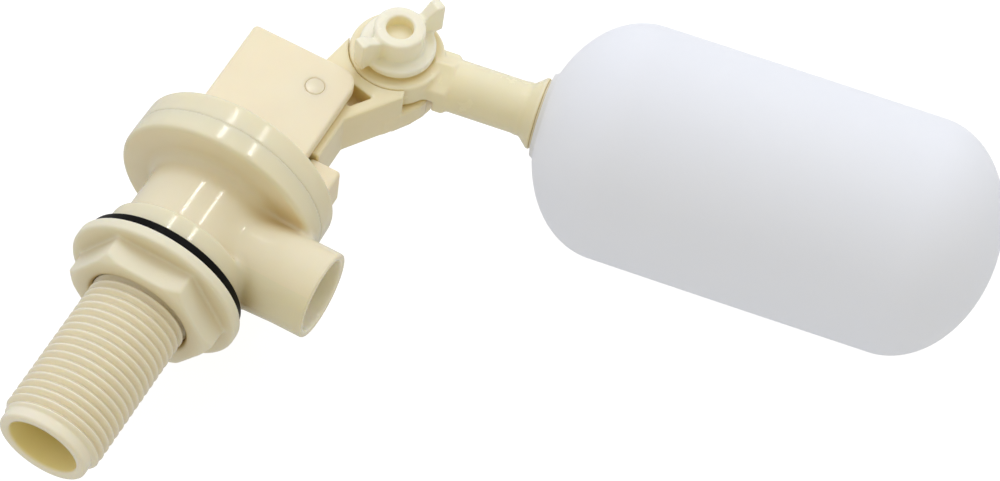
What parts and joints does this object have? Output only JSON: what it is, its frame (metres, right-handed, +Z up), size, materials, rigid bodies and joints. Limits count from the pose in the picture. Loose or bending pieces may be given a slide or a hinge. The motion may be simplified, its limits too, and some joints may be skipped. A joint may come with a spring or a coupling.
{
  "type": "float valve",
  "caption": "Side-mounted plastic float valve: threaded inlet stem with lock nut and gasket, side outlet, piston cover with fork, lever, clamped elbow knuckle and long hollow float.",
  "frame": {"origin": "centre of the body flange's sealing face, on the inlet axis", "axes": "+X along the inlet axis from the threaded end towards the cover and into the tank; +Z up with the outlet spout along -Z; lever and elbow turn about Y"},
  "size_m": [0.1565, 0.0506, 0.166],
  "materials": {
    "body_plastic": "gloss",
    "cover_plastic": "gloss",
    "nut_plastic": "satin",
    "lever_plastic": "gloss",
    "arm_plastic": "gloss",
    "screw_plastic": "gloss",
    "float_plastic": "frosted satin",
    "bush_plastic": "gloss",
    "gasket_rubber": "matte",
    "seal_rubber": "matte",
    "pin_plastic": "gloss",
    "inner_plastic": "satin",
    "brass_insert": "machined"
  },
  "bodies": {
    "valve": {"valve_body": "body_plastic", "valve_cover": "cover_plastic", "cover_oring": "seal_rubber", "inlet_strainer": "inner_plastic", "seat_nozzle": "brass_insert", "pivot_pin": "pin_plastic"},
    "gasket": {"sealing_gasket": "gasket_rubber"},
    "nut": {"lock_nut": "nut_plastic"},
    "piston": {"main_piston": "inner_plastic", "seat_pad": "seal_rubber", "piston_seal": "seal_rubber"},
    "plunger": {"pilot_plunger": "inner_plastic", "pilot_pad": "seal_rubber"},
    "lever": {"lever": "lever_plastic", "knuckle_nut": "brass_insert", "friction_washer": "inner_plastic"},
    "arm": {"float_arm": "arm_plastic", "float_bush": "bush_plastic", "float_shell": "float_plastic"},
    "screw": {"wing_screw": "screw_plastic"}
  },
  "joints": [
    {"name": "gasket_slide", "type": "slide", "parent": "valve", "child": "gasket", "axis": [-1, 0, 0], "range_m": [0, 0.03]},
    {"name": "nut_turn", "type": "hinge", "parent": "gasket", "child": "nut", "pos_m": [-0.006, 0, 0], "axis": [-1, 0, 0], "range_deg": [0, 5960]},
    {"name": "lever_pivot", "type": "hinge", "parent": "valve", "child": "lever", "pos_m": [0.0492, 0, -0.0057], "axis": [0, -1, 0], "range_deg": [0, 14]},
    {"name": "plunger_slide", "type": "slide", "parent": "valve", "child": "plunger", "axis": [-1, 0, 0], "range_m": [0, 0.00125]},
    {"name": "piston_slide", "type": "slide", "parent": "valve", "child": "piston", "axis": [-1, 0, 0], "range_m": [0, 0.0021]},
    {"name": "elbow_hinge", "type": "hinge", "parent": "lever", "child": "arm", "pos_m": [0.0682, 0, -0.01475], "axis": [0, -1, 0], "range_deg": [-20, 120]},
    {"name": "wing_screw_turn", "type": "hinge", "parent": "lever", "child": "screw", "pos_m": [0.0682, 0, -0.01475], "axis": [0, -1, 0], "continuous": true}
  ],
  "couplings": [
    {"joint": "nut_turn", "follows": "gasket_slide", "rad_per_m": 3463.7},
    {"joint": "plunger_slide", "follows": "lever_pivot", "m_per_rad": 0.005},
    {"joint": "piston_slide", "follows": "lever_pivot", "m_per_rad": 0.0085}
  ]
}
